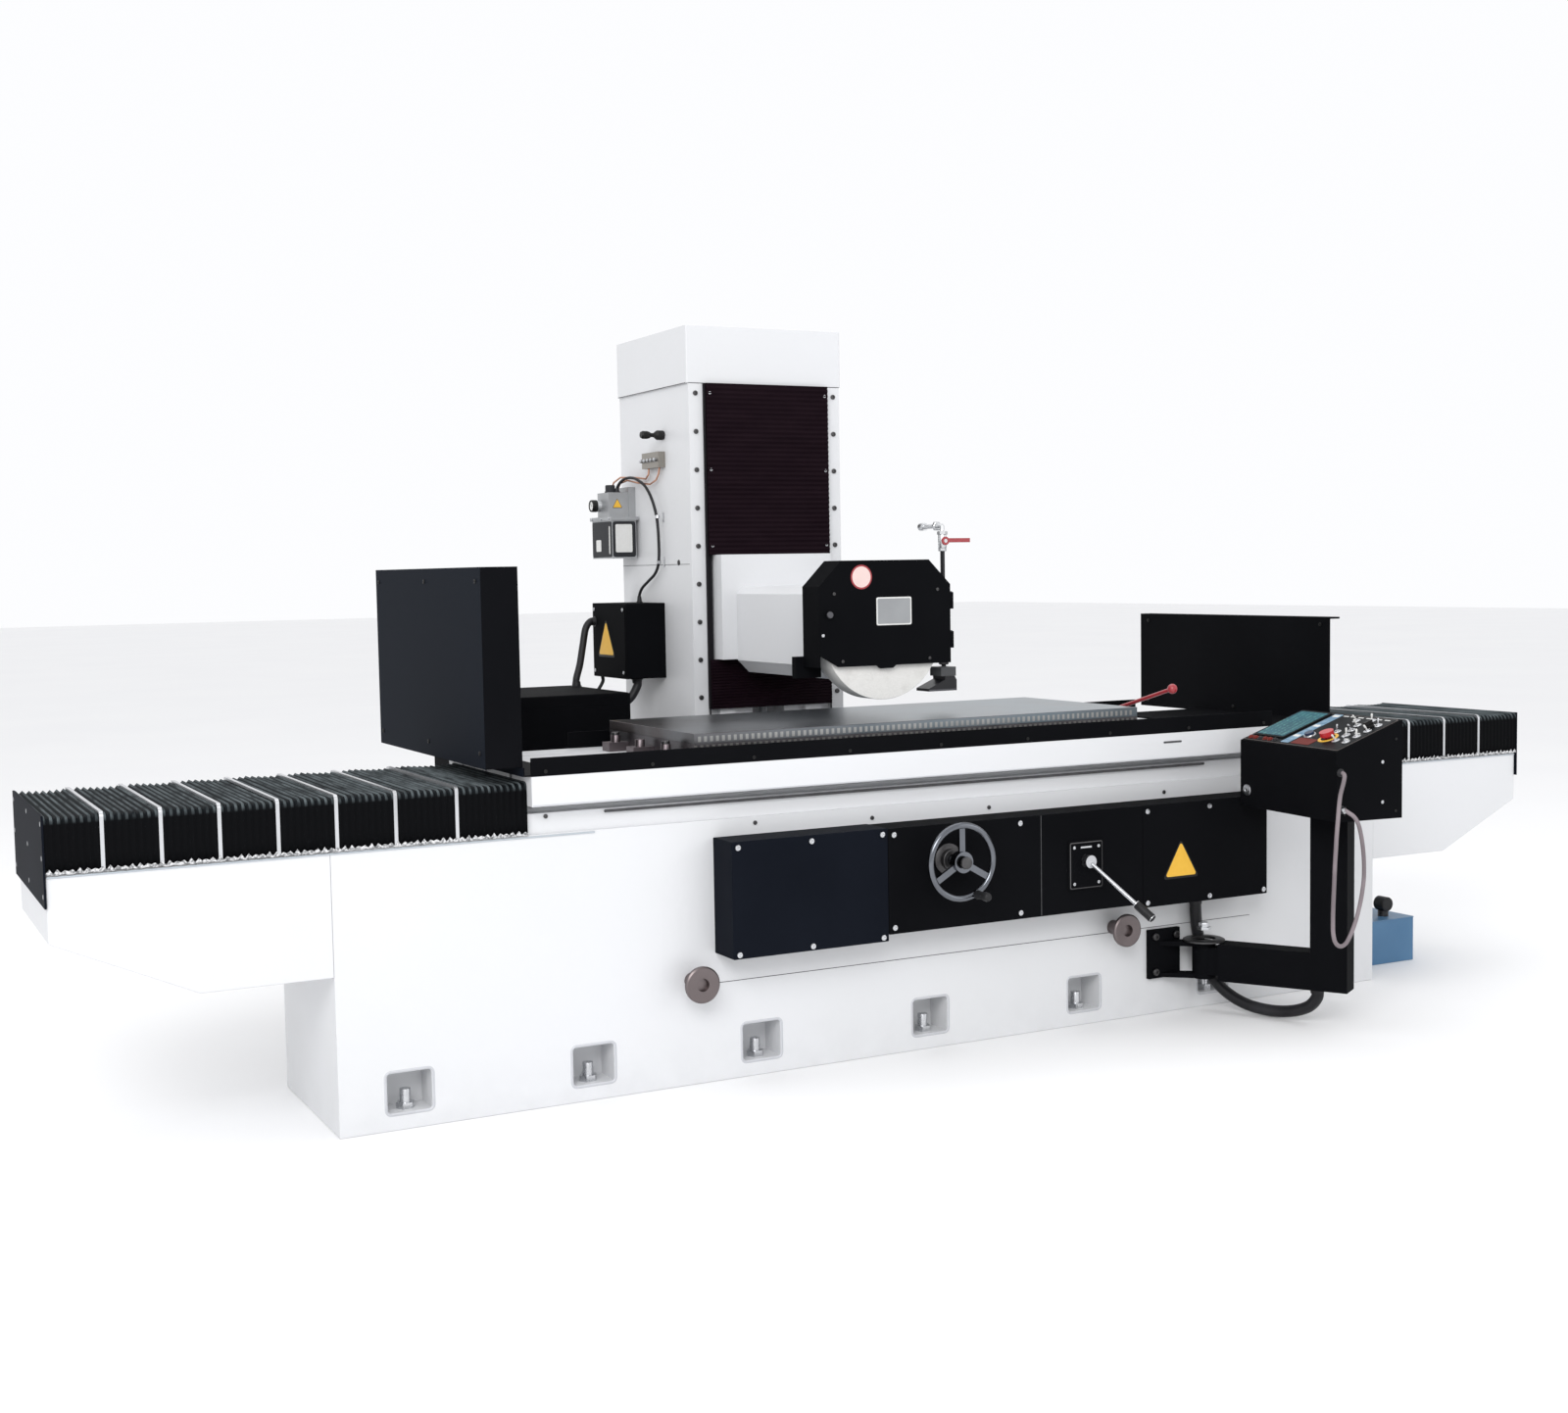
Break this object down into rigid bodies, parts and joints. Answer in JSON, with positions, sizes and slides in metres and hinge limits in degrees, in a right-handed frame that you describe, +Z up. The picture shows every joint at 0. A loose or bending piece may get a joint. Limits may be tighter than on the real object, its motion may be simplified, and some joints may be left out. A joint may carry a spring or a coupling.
{
  "type": "surface grinder",
  "caption": "Column-type horizontal-spindle surface grinder with sliding table, magnetic chuck, guarded wheelhead on a travelling column, splash guards and a swing-arm control box.",
  "frame": {"origin": "floor level under the bed, midway along the bed and under the chuck's centre line", "axes": "+Z up, +X along the table's travel to the operator's right, +Y from the operator towards the column"},
  "size_m": [4.79, 2.97, 2.19],
  "materials": {
    "white_paint": "satin",
    "black_paint": "semi-gloss, fine texture",
    "grey_paint": "satin",
    "blue_paint": "satin",
    "cast_iron": "machined",
    "ground_steel": "ground",
    "dark_steel": "blackened",
    "bright_steel": "polished",
    "aluminium": "cast",
    "copper_tube": "drawn",
    "bellows_cloth": "matt, coated cloth",
    "way_bellows_cloth": "matt, coated cloth",
    "cable_sheath": "smooth",
    "abrasive": "granular",
    "red_paint": "gloss",
    "red_plastic": "gloss",
    "green_plastic": "gloss",
    "black_plastic": "satin"
  },
  "bodies": {
    "base": {"bed": "white_paint", "bed_wings": "white_paint", "cross_base": "white_paint", "cross_rails": "ground_steel", "levelling_screws": "bright_steel", "lifting_studs": "dark_steel", "left_front_cover": "black_paint", "control_panel": "black_paint", "electrical_cover": "black_paint", "cover_screws": "bright_steel", "bellows_end_plates": "black_paint", "table_cylinder": "cast_iron", "cross_motor": "black_paint", "hydraulic_tank": "blue_paint", "pump_motor": "grey_paint", "rear_cabinet": "black_paint", "arm_bracket": "black_paint", "arm_conduit": "cable_sheath", "left_bellows": "bellows_cloth", "right_bellows": "bellows_cloth"},
    "table_body": {"table": "white_paint", "chuck_base": "cast_iron", "chuck_pole_plate": "ground_steel", "chuck_clamps": "bright_steel", "left_splash_guard": "black_paint", "right_splash_guard": "black_paint", "splash_band": "black_paint", "piston_rod": "bright_steel"},
    "chuck_lever_body": {"chuck_lever": "red_paint"},
    "cross_screw_body": {"cross_screw": "bright_steel"},
    "column_body": {"column": "white_paint", "column_cap": "white_paint", "column_bolts": "bright_steel", "upper_way_bellows": "way_bellows_cloth", "lower_way_bellows": "way_bellows_cloth", "column_saddle": "white_paint", "lift_motor": "dark_steel", "junction_box": "black_paint", "lubricator": "aluminium", "oil_distributor": "copper_tube", "column_knob": "black_plastic", "lubricator_cable": "cable_sheath", "cabinet_conduits": "cable_sheath"},
    "lift_screw_body": {"lift_screw": "bright_steel"},
    "head_body": {"head_casting": "white_paint", "spindle_motor": "cast_iron", "wheel_guard": "black_paint", "coolant_pipe": "dark_steel"},
    "door_body": {"guard_door": "black_paint"},
    "valve_body": {"valve_handle": "red_plastic"},
    "wheel_body": {"grinding_wheel": "abrasive", "spindle": "ground_steel"},
    "handwheel_body": {"handwheel": "bright_steel"},
    "table_lever_body": {"table_lever": "bright_steel"},
    "arm_body": {"pendant_arm": "black_paint"},
    "console_body": {"console_box": "black_paint", "handset_cord": "cable_sheath"},
    "emergency_stop_body": {"emergency_stop": "red_plastic"},
    "start_button_body": {"start_button": "green_plastic"},
    "mode_selector_body": {"mode_selector": "black_plastic"}
  },
  "joints": [
    {"name": "table_slide", "type": "slide", "parent": "base", "child": "table_body", "axis": [1, 0, 0], "range_m": [-0.8, 0.8], "deforming": ["left_bellows", "right_bellows"]},
    {"name": "column_slide", "type": "slide", "parent": "base", "child": "column_body", "axis": [0, -1, 0], "range_m": [-0.398, 0.262], "deforming": ["cabinet_conduits"]},
    {"name": "head_slide", "type": "slide", "parent": "column_body", "child": "head_body", "axis": [0, 0, 1], "range_m": [-0.047, 0.45], "deforming": ["upper_way_bellows", "lower_way_bellows"]},
    {"name": "cross_screw_spin", "type": "hinge", "parent": "base", "child": "cross_screw_body", "pos_m": [0, 1, 0.626], "axis": [0, 1, 0], "continuous": true},
    {"name": "lift_screw_spin", "type": "hinge", "parent": "column_body", "child": "lift_screw_body", "pos_m": [0, 0.72, 1.4], "axis": [0, 0, 1], "continuous": true},
    {"name": "wheel_spin", "type": "hinge", "parent": "head_body", "child": "wheel_body", "pos_m": [0, -0.0385, 1.205], "axis": [0, 1, 0], "continuous": true},
    {"name": "guard_door_hinge", "type": "hinge", "parent": "head_body", "child": "door_body", "pos_m": [0.234, -0.086, 1.2], "axis": [0, 0, 1], "range_deg": [0, 110]},
    {"name": "coolant_valve_turn", "type": "hinge", "parent": "head_body", "child": "valve_body", "pos_m": [0.252, -0.029, 1.476], "axis": [0, 1, 0], "range_deg": [0, 90]},
    {"name": "chuck_lever_throw", "type": "hinge", "parent": "table_body", "child": "chuck_lever_body", "pos_m": [0.789, -0.06, 0.915], "axis": [-1, 0, 0], "range_deg": [0, 150]},
    {"name": "handwheel_turn", "type": "hinge", "parent": "base", "child": "handwheel_body", "pos_m": [-0.008, -0.506, 0.571], "axis": [0, 1, 0], "continuous": true},
    {"name": "table_lever_throw", "type": "hinge", "parent": "base", "child": "table_lever_body", "pos_m": [0.472, -0.431, 0.524], "axis": [0, 1, 0], "range_deg": [-30, 30]},
    {"name": "arm_swing", "type": "hinge", "parent": "base", "child": "arm_body", "pos_m": [0.945, -0.4, 0.17], "axis": [0, 0, 1], "range_deg": [-50, 6], "deforming": ["arm_conduit"]},
    {"name": "console_swivel", "type": "hinge", "parent": "arm_body", "child": "console_body", "pos_m": [1.15028, -0.7363, 0.63], "axis": [0, 0, 1], "range_deg": [-15, 30]},
    {"name": "emergency_stop_press", "type": "slide", "parent": "console_body", "child": "emergency_stop_body", "axis": [0.3388, -0.0368, -0.9402], "range_m": [0, 0.006], "stiffness_N_per_m": 900},
    {"name": "start_button_press", "type": "slide", "parent": "console_body", "child": "start_button_body", "axis": [0.3388, -0.0368, -0.9402], "range_m": [0, 0.004], "stiffness_N_per_m": 500},
    {"name": "mode_selector_turn", "type": "hinge", "parent": "console_body", "child": "mode_selector_body", "pos_m": [1.15945, -0.8741, 0.90999], "axis": [-0.3388, 0.0368, 0.9402], "range_deg": [-45, 45]}
  ],
  "couplings": [
    {"joint": "cross_screw_spin", "follows": "column_slide", "rad_per_m": 314.16},
    {"joint": "lift_screw_spin", "follows": "head_slide", "rad_per_m": 314.16}
  ]
}
